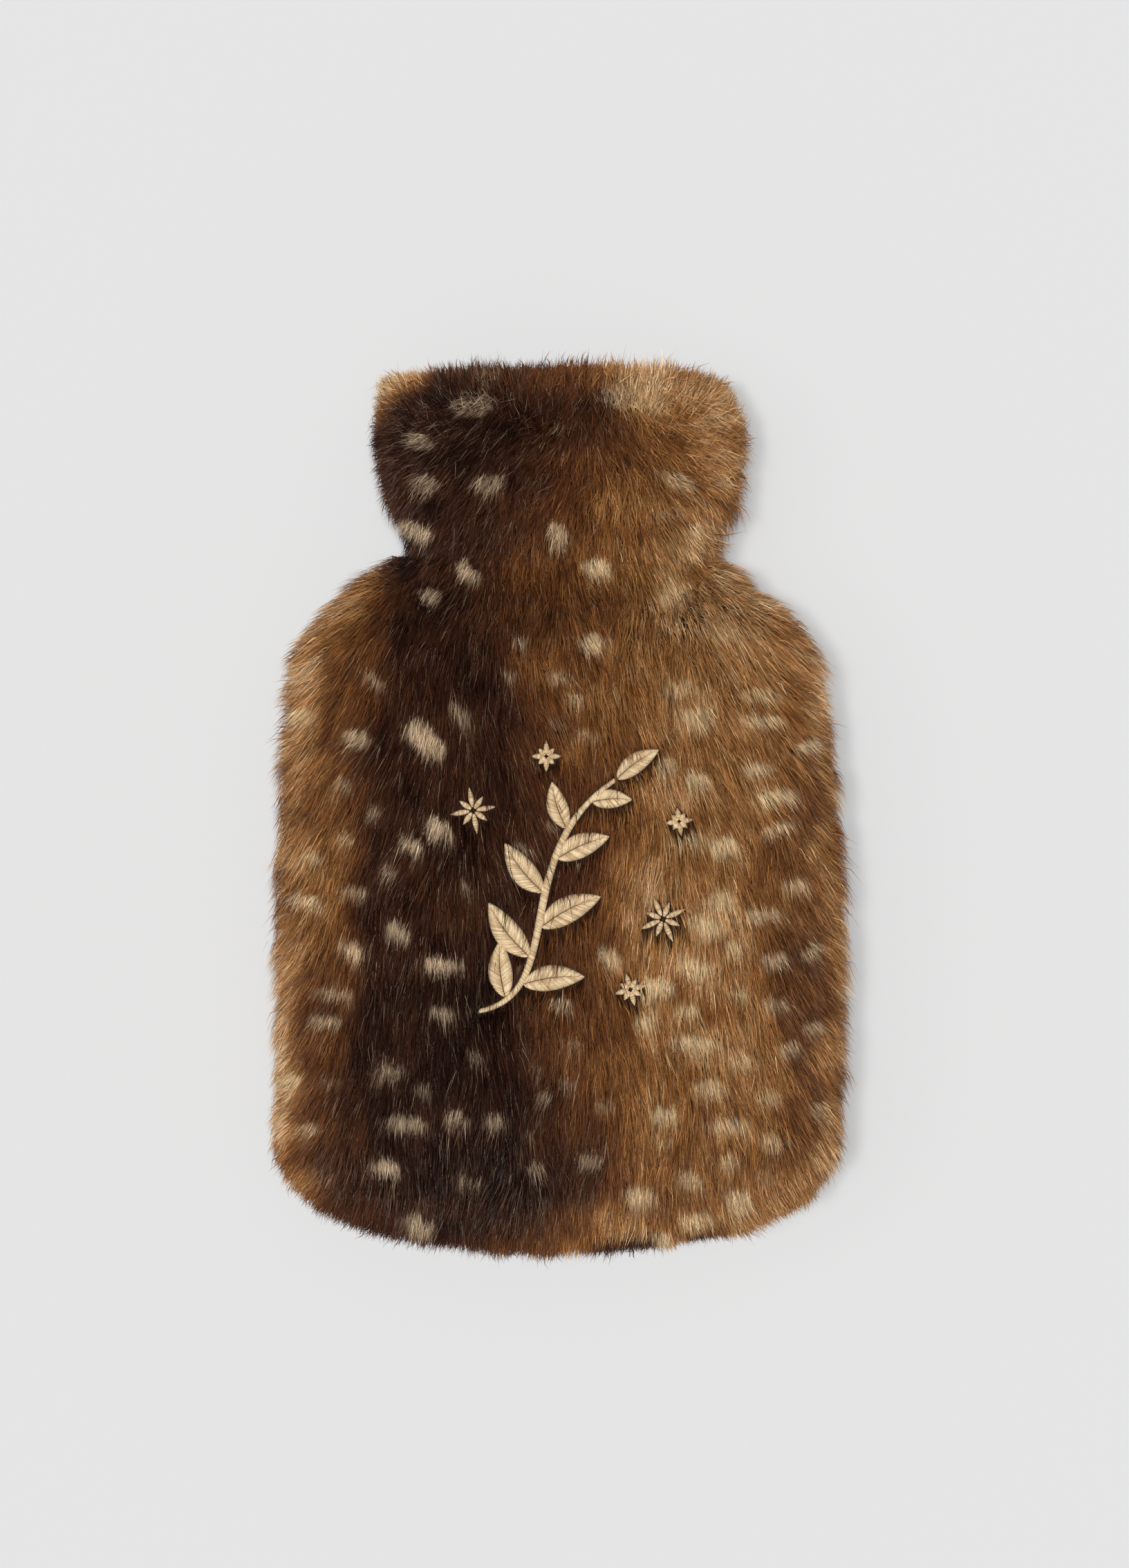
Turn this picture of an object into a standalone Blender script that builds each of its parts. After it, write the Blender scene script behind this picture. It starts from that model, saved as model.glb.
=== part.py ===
"""Hot water bottle cover in long pile cloth, lying on its back with its face up.

The cover is a bottle-shaped pouch of two cut panels, a front and a back, joined along the sides and the hem
and open at the mouth of the collar. Each panel is one thick wall, its backing cloth and its combed pile, and
its outer face is the surface of the pile. X runs across the cover, +Y up its length to the mouth, and +Z
out of its face. Lengths are in metres.
"""

import math

import bmesh
import bpy

WALL = 0.0085  # backing cloth with the pile combed flat on it
SEAM_GAP = 0.0003  # between the two panels, all along the seam
MOUTH_Y = 0.170  # top of the collar on the centre line
HEM_TURN_Y = -0.119  # the sides end here and the rounded hem begins
HEM_Y = -0.170  # lowest point of the hem
POLE_Y = -0.070  # on the centre line, where the rows from the hem meet
HEM_POWER = 2.85  # 2 would be an ellipse, and more is a squarer hem
PILLOW_POWER = 2.4  # fullness of the cross-section from seam to crown
REST_SHARE = 0.42  # of the way from seam to centre line, where the back starts to lie flat

SIDE_ROWS = 46  # from the mouth to the turn of the hem
BOWED_ROWS = 6  # of those, the ones that follow the mouth's bow
HEM_ROWS = 15  # from the turn of the hem to its middle
RINGS = 8  # from the seam to the centre line
RING_EASE = 1.6  # 1 would space the rings evenly, and more draws them to the seam

# How far the pile reaches to either side, from the corners of the mouth down to the turn of the hem.
SIDE_COLUMNS = ("y", "left", "right")
SIDE_TABLE = (
    (0.163, 0.0640, 0.0630),  # corners of the mouth
    (0.152, 0.0705, 0.0690),
    (0.138, 0.0725, 0.0725),  # widest part of the collar
    (0.118, 0.0690, 0.0705),
    (0.096, 0.0595, 0.0605),  # neck
    (0.083, 0.0780, 0.0740),
    (0.070, 0.0930, 0.0915),  # shoulders
    (0.055, 0.1010, 0.0990),
    (0.018, 0.1045, 0.1045),
    (-0.034, 0.1060, 0.1075),
    (-0.086, 0.1070, 0.1080),
    (-0.119, 0.1080, 0.1070),
)

# Height of the resting side, of the seam and of the crown of the face, along the centre line.
HEIGHT_COLUMNS = ("y", "rest", "seam", "crown")
HEIGHT_TABLE = (
    (0.170, 0.0030, 0.0240, 0.0460),
    (0.140, 0.0000, 0.0240, 0.0500),  # collar
    (0.096, 0.0030, 0.0250, 0.0480),  # neck
    (0.066, 0.0005, 0.0265, 0.0560),
    (0.030, 0.0000, 0.0270, 0.0620),
    (-0.030, 0.0000, 0.0270, 0.0640),  # fullest part of the bottle
    (-0.070, 0.0000, 0.0270, 0.0630),
)

# Troughs that the drawn-in neck pulls into the face, each from the notch in the outline towards the middle.
CREASE_COLUMNS = ("from_x", "from_y", "to_x", "to_y", "depth", "width")
CREASE_TABLE = (
    (-0.062, 0.097, -0.038, 0.064, 0.0045, 0.0060),
    (0.061, 0.097, 0.031, 0.066, 0.0045, 0.0060),
    (-0.030, 0.092, 0.026, 0.093, 0.0015, 0.0110),
)

# Low swellings of the filled face, as wavelengths across and along it, with their height.
SWELLINGS = ((0.105, 0.160, 0.0010), (0.062, 0.085, 0.0006))


def read_table(columns, table, name, y):
    """The named column at this y, on a smooth curve that never overshoots a row of the table."""
    at = columns.index(name)
    ys = [row[0] for row in table]
    values = [row[at] for row in table]
    y = min(max(y, ys[-1]), ys[0])
    steps = [(values[i + 1] - values[i]) / (ys[i + 1] - ys[i]) for i in range(len(ys) - 1)]
    slopes = [steps[0]]
    for before, after in zip(steps, steps[1:]):
        slopes.append(2 * before * after / (before + after) if before * after > 0 else 0.0)
    slopes.append(steps[-1])
    i = max(k for k in range(len(ys) - 1) if ys[k] >= y)
    span = ys[i + 1] - ys[i]
    t = (y - ys[i]) / span
    return (
        values[i] * (1 + 2 * t) * (1 - t) ** 2
        + slopes[i] * span * t * (1 - t) ** 2
        + values[i + 1] * t * t * (3 - 2 * t)
        - slopes[i + 1] * span * t * t * (1 - t)
    )


def outline_rows():
    """Rows from the mouth to the hem: y at the side, reach left and right, y at the centre line, and bow."""
    rows = []
    top_y = SIDE_TABLE[0][0]
    for step in range(SIDE_ROWS + 1):
        y = top_y + (HEM_TURN_Y - top_y) * step / SIDE_ROWS
        left = read_table(SIDE_COLUMNS, SIDE_TABLE, "left", y)
        right = read_table(SIDE_COLUMNS, SIDE_TABLE, "right", y)
        # The mouth's edge is bowed up in the middle, and the rows below it less and less.
        bow = (MOUTH_Y - top_y) * max(0.0, 1 - step / BOWED_ROWS) ** 2
        rows.append((y, left, right, max(y, POLE_Y), bow))
    left, right = SIDE_TABLE[-1][1:]
    for step in range(1, HEM_ROWS + 1):
        turn = math.radians(90) * step / HEM_ROWS
        y = HEM_TURN_Y + (HEM_Y - HEM_TURN_Y) * math.sin(turn) ** (2 / HEM_POWER)
        rows.append((y, left * math.cos(turn), right * math.cos(turn), POLE_Y, 0.0))
    return rows


def place_in_row(row, side, share, inset):
    """x and y at this share of the way from the seam, moved in by inset, to the centre line."""
    y, left, right, centre_y, bow = row
    edge_x = -left if side < 0 else right
    start = inset / math.hypot(edge_x, centre_y - y)
    way = start + (1 - start) * share
    return edge_x * (1 - way), y + (centre_y - y) * way + bow * (1 - (1 - way) ** 2)


def crease_depth(x, y):
    depth = 0.0
    for row in CREASE_TABLE:
        crease = dict(zip(CREASE_COLUMNS, row))
        along_x = crease["to_x"] - crease["from_x"]
        along_y = crease["to_y"] - crease["from_y"]
        length = math.hypot(along_x, along_y)
        share = ((x - crease["from_x"]) * along_x + (y - crease["from_y"]) * along_y) / length**2
        share = min(max(share, 0.0), 1.0)
        away = math.hypot(x - crease["from_x"] - share * along_x, y - crease["from_y"] - share * along_y)
        fade = 1 - share**2
        depth += crease["depth"] * fade * math.exp(-((away / crease["width"]) ** 2))
    return depth


def swelling(x, y):
    return sum(
        rise * math.sin(2 * math.pi * x / across + 0.7) * math.sin(2 * math.pi * y / along)
        for across, along, rise in SWELLINGS
    )


def dome(share):
    """Rise of a pillow's section, from 0 at its seam to 1 at the centre line."""
    return (1 - (1 - share) ** PILLOW_POWER) ** (1 / PILLOW_POWER)


def face_point(row, side, share, inset):
    """Point of the front panel: its face where inset is 0, and its inner side where inset is the wall."""
    x, y = place_in_row(row, side, share, inset)
    seam = read_table(HEIGHT_COLUMNS, HEIGHT_TABLE, "seam", row[3]) + SEAM_GAP / 2
    crown = read_table(HEIGHT_COLUMNS, HEIGHT_TABLE, "crown", row[3]) - inset
    uneven = (swelling(x, y) - crease_depth(x, y)) * min(1.0, 3 * share)
    return x, y, seam + (crown - seam) * dome(share) + uneven


def back_point(row, side, share, inset):
    """Point of the back panel, which curves under from the seam and lies flat in the middle."""
    x, y = place_in_row(row, side, share, inset)
    seam = read_table(HEIGHT_COLUMNS, HEIGHT_TABLE, "seam", row[3]) - SEAM_GAP / 2
    rest = read_table(HEIGHT_COLUMNS, HEIGHT_TABLE, "rest", row[3]) + inset
    return x, y, seam + (rest - seam) * dome(min(1.0, share / REST_SHARE))


def panel(name, point_at, colour, roughness, collection):
    """One panel as a closed wall: its pile side, its inner side, and the edge between them."""
    rows = outline_rows()
    shares = [(ring / RINGS) ** RING_EASE for ring in range(RINGS + 1)]
    shell = bmesh.new()
    for side in (-1, 1):
        pile, inner = grids = [
            [[shell.verts.new(point_at(row, side, share, inset)) for share in shares] for row in rows]
            for inset in (0.0, WALL)
        ]
        for grid in grids:
            for j in range(len(rows) - 1):
                for k in range(RINGS):
                    shell.faces.new((grid[j][k], grid[j + 1][k], grid[j + 1][k + 1], grid[j][k + 1]))
        for j in range(len(rows) - 1):
            shell.faces.new((pile[j][0], inner[j][0], inner[j + 1][0], pile[j + 1][0]))
        for k in range(RINGS):
            shell.faces.new((pile[0][k], pile[0][k + 1], inner[0][k + 1], inner[0][k]))
    bmesh.ops.remove_doubles(shell, verts=shell.verts, dist=0.00002)
    bmesh.ops.recalc_face_normals(shell, faces=shell.faces)

    mesh = bpy.data.meshes.new(name)
    shell.to_mesh(mesh)
    shell.free()
    mesh.shade_smooth()
    mesh.set_sharp_from_angle(angle=math.radians(40))
    mesh.materials.append(pile_material(name + "_pile", colour, roughness))
    body = bpy.data.objects.new(name, mesh)
    collection.objects.link(body)
    return body


def pile_material(name, colour, roughness):
    material = bpy.data.materials.new(name)
    material.use_nodes = True
    surface = material.node_tree.nodes["Principled BSDF"]
    surface.inputs["Base Color"].default_value = (*colour, 1.0)
    surface.inputs["Roughness"].default_value = roughness
    surface.inputs["Metallic"].default_value = 0.0
    return material


def main():
    for old in list(bpy.data.objects):
        bpy.data.objects.remove(old, do_unlink=True)
    cover = bpy.data.collections.new("hot_water_bottle_cover")
    bpy.context.scene.collection.children.link(cover)
    panel("front_panel", face_point, (0.20, 0.10, 0.045), 0.85, cover)
    panel("back_panel", back_point, (0.05, 0.025, 0.015), 0.85, cover)


main()
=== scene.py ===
"""Hot water bottle cover in long dyed pile cloth, on its back, seen from straight above.

Two knitted cloths are sewn into a bottle-shaped pouch that is open at the collar. Combed pile covers both,
and a leafy sprig is stitched in gold thread on the front. Lengths are in metres unless a name says mm.
"""

import math

import bpy
import numpy as np
from mathutils.bvhtree import BVHTree
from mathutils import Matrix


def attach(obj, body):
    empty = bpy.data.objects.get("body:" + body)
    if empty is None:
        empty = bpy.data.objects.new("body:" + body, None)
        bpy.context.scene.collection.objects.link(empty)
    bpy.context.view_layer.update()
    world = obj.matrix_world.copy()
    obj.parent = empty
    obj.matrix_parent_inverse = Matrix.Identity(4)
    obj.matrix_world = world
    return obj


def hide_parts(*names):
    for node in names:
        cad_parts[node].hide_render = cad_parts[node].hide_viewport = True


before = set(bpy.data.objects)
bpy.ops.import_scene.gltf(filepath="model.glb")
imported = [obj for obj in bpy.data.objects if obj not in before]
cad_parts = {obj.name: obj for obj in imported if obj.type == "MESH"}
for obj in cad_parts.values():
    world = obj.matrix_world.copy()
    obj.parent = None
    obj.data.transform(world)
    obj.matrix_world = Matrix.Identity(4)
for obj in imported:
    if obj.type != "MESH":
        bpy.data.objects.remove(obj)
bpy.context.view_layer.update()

# Camera. The photo looks straight down on the cover from far above, so a long lens hangs over it. Its frame
# is 425 by 590 mm at the height of the side seam.
CAMERA_HEIGHT = 1.60
VIEW_LONG_SIDE = 0.5897
VIEW_CENTRE = (0.0027, 0.0088)
SEAM_HEIGHT = 0.027


def new_object(name, data):
    """An object with this data, in the scene."""
    made = bpy.data.objects.new(name, data)
    bpy.context.scene.collection.objects.link(made)
    return made


lens_data = bpy.data.cameras.new("camera")
lens_data.sensor_width = 36
lens_data.lens = lens_data.sensor_width * (CAMERA_HEIGHT - SEAM_HEIGHT) / VIEW_LONG_SIDE
lens_data.clip_start = 0.05
lens_data.clip_end = 50
camera = new_object("camera", lens_data)
camera.location = (*VIEW_CENTRE, CAMERA_HEIGHT)
bpy.context.scene.camera = camera

# Studio: a plain pale floor under soft lights. One shines straight down, so its shadow stays under the
# cover, one leans over from the left and leaves the narrow shadow at the right, and a weak low one brings
# out the pile. A little light comes from all around.
FLOOR_SIZE = 60.0
FLOOR_GREY = 0.805
ROOM_LIGHT = 0.11
# Each light's name and strength, how far it leans over from straight above, and how widely it spreads.
LIGHT_TABLE = (
    ("light_above", 1.80, math.radians(0), math.radians(14)),
    ("light_from_left", 0.86, math.radians(15), math.radians(10)),
    ("low_light_from_left", 0.14, math.radians(45), math.radians(40)),
)


def connect(tree, node, inputs):
    """Links each of these inputs of a node to another node's output, or sets it to a value."""
    for name, source in inputs.items():
        if isinstance(source, bpy.types.NodeSocket):
            tree.links.new(source, node.inputs[name])
        else:
            node.inputs[name].default_value = source


def new_material(name, inputs):
    """A material with these values on its shader."""
    material = bpy.data.materials.new(name)
    material.use_nodes = True
    connect(material.node_tree, material.node_tree.nodes["Principled BSDF"], inputs)
    return material


bpy.ops.object.select_all(action="DESELECT")
bpy.ops.mesh.primitive_plane_add(size=FLOOR_SIZE, location=(0, 0, 0))
floor = bpy.context.active_object
floor.name = "studio_floor"
floor.data.materials.append(new_material("pale floor paint", {
    "Base Color": (FLOOR_GREY, FLOOR_GREY, FLOOR_GREY, 1), "Roughness": 1.0, "Specular IOR Level": 0.0
}))

for name, strength, tilt, spread in LIGHT_TABLE:
    sun = bpy.data.lights.new(name, "SUN")
    sun.energy = strength
    sun.angle = spread
    lamp = new_object(name, sun)
    lamp.rotation_euler = (0, -tilt, 0)
    lamp.location = (-math.sin(tilt), 0, math.cos(tilt))

room = bpy.data.worlds.new("room")
room.use_nodes = True
connect(room.node_tree, room.node_tree.nodes["Background"], {"Color": (1, 1, 1, 1), "Strength": ROOM_LIGHT})
bpy.context.scene.world = room
bpy.context.scene.view_settings.view_transform = "Standard"

# Cloths: the knitted backing of the pile, one front and one back, cut alike and sewn together round the
# sides and the hem. The mouth's edge is turned in once. They lie under the pile, inside the solids' walls.
CLOTH_INSET = 0.0068  # from the pile's surface to the cloth it grows on
CLOTH_THICKNESS = 0.0014
CLOTH_SIDE_ROWS = 60
CLOTH_HEM_ROWS = 20
CLOTH_RINGS = 14  # from the seam to the centre line
RING_EASE = 1.8  # 1 would space the rings evenly, and more draws them to the seam
WELD = 0.00002
MOUTH_PILE = 0.0075  # how far the pile stands past the cloth's edge at the mouth
TURNED_HEM = 0.020
TURNED_HEM_GAP = 0.0022
TURNED_HEM_ROWS = 5
FOLD_RISE = 0.0008

# The shape of the pile's surface, which is the solids' own: seam, mouth and hem, and how it is filled out.
SEAM_GAP = 0.0003
MOUTH_Y = 0.170
HEM_TURN_Y = -0.119  # the sides end here and the rounded hem begins
HEM_Y = -0.170
POLE_Y = -0.070  # on the centre line, where the rows from the hem meet
HEM_POWER = 2.85  # 2 would be an ellipse, and more is a squarer hem
PILLOW_POWER = 2.4  # fullness of the cross-section
REST_SHARE = 0.42  # of the way from seam to centre line, where the back starts to lie flat
BOW_REACH = 0.0368  # down from the mouth's corners, where the rows stop being bowed
UNEVEN_GAIN = 3  # the face is smooth at the seam, and fully uneven from a third of the way in
SWELLING_PHASE = 0.7
# How far the pile reaches to either side, from the corners of the mouth down to the turn of the hem.
SIDE_COLUMNS = ("y", "left", "right")
SIDE_TABLE = (
    (0.163, 0.0640, 0.0630),
    (0.152, 0.0705, 0.0690),
    (0.138, 0.0725, 0.0725),
    (0.118, 0.0690, 0.0705),
    (0.096, 0.0595, 0.0605),
    (0.083, 0.0780, 0.0740),
    (0.070, 0.0930, 0.0915),
    (0.055, 0.1010, 0.0990),
    (0.018, 0.1045, 0.1045),
    (-0.034, 0.1060, 0.1075),
    (-0.086, 0.1070, 0.1080),
    (-0.119, 0.1080, 0.1070),
)
# Height of the resting side, of the seam and of the crown of the face, along the centre line.
HEIGHT_COLUMNS = ("y", "rest", "seam", "crown")
HEIGHT_TABLE = (
    (0.170, 0.0030, 0.0240, 0.0460),
    (0.140, 0.0000, 0.0240, 0.0500),
    (0.096, 0.0030, 0.0250, 0.0480),
    (0.066, 0.0005, 0.0265, 0.0560),
    (0.030, 0.0000, 0.0270, 0.0620),
    (-0.030, 0.0000, 0.0270, 0.0640),
    (-0.070, 0.0000, 0.0270, 0.0630),
)
# Troughs that the drawn-in neck pulls into the face, and low swellings of it as wavelengths and height.
CREASE_COLUMNS = ("from_x", "from_y", "to_x", "to_y", "depth", "width")
CREASE_TABLE = (
    (-0.062, 0.097, -0.038, 0.064, 0.0045, 0.0060),
    (0.061, 0.097, 0.031, 0.066, 0.0045, 0.0060),
    (-0.030, 0.092, 0.026, 0.093, 0.0015, 0.0110),
)
SWELLINGS = ((0.105, 0.160, 0.0010), (0.062, 0.085, 0.0006))


def read_column(columns, table, name, y):
    """The named column at each y, on a smooth curve that never overshoots a row of the table."""
    ys = np.array([row[0] for row in table])[::-1]
    values = np.array([row[columns.index(name)] for row in table])[::-1]
    y = np.clip(y, ys[0], ys[-1])
    steps = np.diff(values) / np.diff(ys)
    same_way = steps[:-1] * steps[1:] > 0
    sums = np.where(same_way, steps[:-1] + steps[1:], 1.0)
    inner = np.where(same_way, 2 * steps[:-1] * steps[1:] / sums, 0.0)
    slopes = np.concatenate([steps[:1], inner, steps[-1:]])
    i = np.clip(np.searchsorted(ys, y, side="right") - 1, 0, len(ys) - 2)
    span = ys[i + 1] - ys[i]
    t = (y - ys[i]) / span
    return (
        values[i] * (1 + 2 * t) * (1 - t) ** 2
        + slopes[i] * span * t * (1 - t) ** 2
        + values[i + 1] * t * t * (3 - 2 * t)
        - slopes[i + 1] * span * t * t * (1 - t)
    )


def reach_to_side(y, side):
    """How far the pile's outline lies from the centre line at each y."""
    name = "left" if side < 0 else "right"
    below = np.clip((HEM_TURN_Y - y) / (HEM_TURN_Y - HEM_Y), 0, 1)
    turn = np.arcsin(below ** (HEM_POWER / 2))
    return read_column(SIDE_COLUMNS, SIDE_TABLE, name, y) * np.cos(turn)


def half_across(x, y):
    """How far the outline lies from the centre line, at each y and on the side of each x."""
    return np.where(x < 0, reach_to_side(y, -1), reach_to_side(y, 1))


def rows_down(side_rows, hem_rows):
    """y at the side of each row, from the cloth's edge at the mouth down to the middle of the hem."""
    side_y = np.linspace(SIDE_TABLE[0][0] - MOUTH_PILE, HEM_TURN_Y, side_rows + 1)
    turn = np.radians(90) * np.arange(1, hem_rows + 1) / hem_rows
    return np.concatenate([side_y, HEM_TURN_Y + (HEM_Y - HEM_TURN_Y) * np.sin(turn) ** (2 / HEM_POWER)])


def uneven_face(x, y):
    """Low swellings of the filled face, less the troughs that the drawn-in neck pulls into it."""
    rise = np.zeros(np.broadcast(x, y).shape)
    for across, along, height in SWELLINGS:
        rise += height * np.sin(2 * np.pi * x / across + SWELLING_PHASE) * np.sin(2 * np.pi * y / along)
    for row in CREASE_TABLE:
        crease = dict(zip(CREASE_COLUMNS, row))
        way_x = crease["to_x"] - crease["from_x"]
        way_y = crease["to_y"] - crease["from_y"]
        share = (x - crease["from_x"]) * way_x + (y - crease["from_y"]) * way_y
        share = np.clip(share / (way_x**2 + way_y**2), 0, 1)
        away = np.hypot(x - crease["from_x"] - share * way_x, y - crease["from_y"] - share * way_y)
        rise -= crease["depth"] * (1 - share**2) * np.exp(-((away / crease["width"]) ** 2))
    return rise


def dome(share):
    """Rise of a pillow's section, from 0 at its seam to 1 at the centre line."""
    return (1 - (1 - share) ** PILLOW_POWER) ** (1 / PILLOW_POWER)


def panel_points(panel, side, y, shares, inset):
    """Points of one half of a panel, a row for each y, from the seam (share 0) to the centre line (1)."""
    y = np.asarray(y)[:, None]
    inset = np.broadcast_to(np.asarray(inset, float).reshape(-1, 1), y.shape)
    edge_x = side * reach_to_side(y, side)
    centre_y = np.maximum(y, POLE_Y)
    top_y = SIDE_TABLE[0][0]
    bow = (MOUTH_Y - top_y) * np.maximum(0, 1 - (top_y - y) / BOW_REACH) ** 2
    start = inset / np.hypot(edge_x, centre_y - y)
    way = start + (1 - start) * shares
    x = edge_x * (1 - way)
    place_y = y + (centre_y - y) * way + bow * (1 - (1 - way) ** 2)
    seam = read_column(HEIGHT_COLUMNS, HEIGHT_TABLE, "seam", centre_y)
    if panel == "front":
        seam = seam + SEAM_GAP / 2
        crown = read_column(HEIGHT_COLUMNS, HEIGHT_TABLE, "crown", centre_y) - inset
        uneven = uneven_face(x, place_y) * np.minimum(1, UNEVEN_GAIN * shares)
        z = seam + (crown - seam) * dome(shares) + uneven
    else:
        seam = seam - SEAM_GAP / 2
        rest = read_column(HEIGHT_COLUMNS, HEIGHT_TABLE, "rest", centre_y) + inset
        z = seam + (rest - seam) * dome(np.minimum(1, shares / REST_SHARE))
    return np.stack(np.broadcast_arrays(x, place_y, z), axis=-1)


def panel_grid(panel, y, shares, inset):
    """Places and faces of both halves of a panel."""
    places, faces = [], []
    across = len(shares)
    for side in (-1, 1):
        first = len(places)
        places.extend(map(tuple, panel_points(panel, side, y, shares, inset).reshape(-1, 3)))
        for j in range(len(y) - 1):
            for k in range(across - 1):
                a = first + j * across + k
                faces.append((a, a + across, a + across + 1, a + 1))
    return places, faces


def new_group(name, inputs, outputs):
    """A node group with these sockets, and the sockets inside it to link from and to."""
    group = bpy.data.node_groups.new(name, "ShaderNodeTree")
    for in_out, sockets in (("INPUT", inputs), ("OUTPUT", outputs)):
        for socket, kind in sockets.items():
            group.interface.new_socket(socket, in_out=in_out, socket_type="NodeSocket" + kind)
    return group, group.nodes.new("NodeGroupInput").outputs, group.nodes.new("NodeGroupOutput")


def add_node(tree, kind, inputs, **settings):
    """A shader node with these settings and inputs."""
    node = tree.nodes.new("ShaderNode" + kind)
    for setting, value in settings.items():
        setattr(node, setting, value)
    connect(tree, node, inputs)
    return node


knit_group, knit_in, knit_out = new_group(
    "knitted backing", {"Yarn": "Color", "Ribs per metre": "Float"}, {"Color": "Color", "Normal": "Vector"}
)
knit_place = add_node(knit_group, "TexCoord", {})
knit_ribs = add_node(knit_group, "TexWave", {
    "Vector": knit_place.outputs["Object"], "Scale": knit_in["Ribs per metre"],
    "Distortion": 1.5, "Detail": 2,
}, bands_direction="X")
knit_shade = add_node(knit_group, "Mix", {
    "Factor": 0.55, "A": knit_in["Yarn"], "B": knit_ribs.outputs["Color"]
}, data_type="RGBA", blend_type="MULTIPLY")
knit_bump = add_node(knit_group, "Bump", {"Distance": 0.0004, "Height": knit_ribs.outputs["Fac"]})
connect(knit_group, knit_out, {
    "Color": knit_shade.outputs["Result"], "Normal": knit_bump.outputs["Normal"]
})


def sewn_cloth(panel, yarn):
    """One panel's cloth with thickness, and its edge at the mouth turned in."""
    outer_y = rows_down(CLOTH_SIDE_ROWS, CLOTH_HEM_ROWS)
    turned_y = np.linspace(outer_y[0] - TURNED_HEM, outer_y[0], TURNED_HEM_ROWS)
    y = np.concatenate([turned_y, [outer_y[0] + FOLD_RISE], outer_y])
    insets = np.concatenate([
        np.full(TURNED_HEM_ROWS, CLOTH_INSET + TURNED_HEM_GAP),
        [CLOTH_INSET + TURNED_HEM_GAP / 2],
        np.full(len(outer_y), CLOTH_INSET),
    ])
    places, faces = panel_grid(panel, y, np.linspace(0, 1, CLOTH_RINGS + 1) ** RING_EASE, insets)
    mesh = bpy.data.meshes.new(panel + "_cloth")
    mesh.from_pydata(places, [], faces)
    cloth = new_object(panel + "_cloth", mesh)
    bpy.ops.object.select_all(action="DESELECT")
    cloth.select_set(True)
    bpy.context.view_layer.objects.active = cloth
    bpy.ops.object.mode_set(mode="EDIT")
    bpy.ops.mesh.select_all(action="SELECT")
    bpy.ops.mesh.remove_doubles(threshold=WELD)
    bpy.ops.mesh.normals_make_consistent(inside=False)
    bpy.ops.object.mode_set(mode="OBJECT")
    wall = cloth.modifiers.new("thickness", "SOLIDIFY")
    wall.thickness = CLOTH_THICKNESS
    wall.offset = -1
    bpy.ops.object.modifier_apply(modifier="thickness")
    bpy.ops.object.shade_smooth()
    backing = new_material(panel + " knitted backing", {"Roughness": 0.95, "Specular IOR Level": 0.2})
    tree = backing.node_tree
    loops = add_node(tree, "Group", {"Yarn": (*yarn, 1), "Ribs per metre": 180}, node_tree=knit_group)
    connect(tree, tree.nodes["Principled BSDF"], {
        "Base Color": loops.outputs["Color"], "Normal": loops.outputs["Normal"]
    })
    cloth.data.materials.append(backing)
    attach(cloth, "root")
    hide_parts(panel + "_panel")
    return cloth


front_cloth = sewn_cloth("front", yarn=(0.060, 0.028, 0.014))
back_cloth = sewn_cloth("back", yarn=(0.040, 0.019, 0.010))

# Stitched sprig: satin stitch in gold thread, a stem with split leaves and five small stars. The thread is
# drawn through the cloth at both sides of each shape, so it lies a little below the pile and parts it.
STITCH_INSET = 0.0034  # from the pile's surface down to the top of the stitches
THREAD_PITCH = 0.00040
THREAD_WIDTH = 0.00050
THREAD_RISE = 0.00022
SPRIG_CENTRE = (0.005, -0.025)
STEM_WIDTH = 0.0029
STEM_SLANT = 0.0005
VEIN_GAP = 0.00010
LEAF_BEND = 0.05  # of its length
LEAF_SLANT = 0.16  # how far along the leaf a thread runs from the vein to the edge
LEAF_CLEARANCE = 0.0011  # from the stem
RAY_HALF_WIDTH = 0.0010
SHORTEST_THREAD = 0.0006
STEM_POINTS_MM = ((-34, -50), (0, -44), (-24, 8), (16, 35))  # of one Bezier curve
LEAF_COLUMNS = ("along", "side", "length_mm", "width_mm", "lean_deg")
LEAF_TABLE = (
    (0.12, 1, 22, 9.0, 60),
    (0.22, -1, 24, 9.5, 50),
    (0.34, 1, 26, 10.0, 54),
    (0.46, -1, 26, 10.0, 52),
    (0.58, 1, 24, 9.5, 50),
    (0.70, -1, 22, 9.0, 48),
    (0.80, 1, 19, 8.0, 46),
    (0.91, -1, 16, 7.0, 44),
    (1.00, 1, 20, 7.5, 0),
)
STAR_COLUMNS = ("x_mm", "y_mm", "across_mm", "turn_deg")
STAR_TABLE = ((-36, 24, 17, 10), (34, -16, 18, 24), (-9, 44, 11, 0), (22, -42, 12, 15), (40, 20, 10, 8))
STAR_POINTS = 8
SHORT_POINT = 0.72  # every second point's length as a share of the others'
RAY_FROM = 0.16  # of its length, so the star's middle stays open


def bezier(points, t):
    """Places on a Bezier curve, from 0 at its first point to 1 at its last."""
    a, b, c, d = (np.array(p, float) for p in points)
    t = np.asarray(t, float)[..., None]
    return a * (1 - t) ** 3 + 3 * b * t * (1 - t) ** 2 + 3 * c * t * t * (1 - t) + d * t**3


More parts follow.
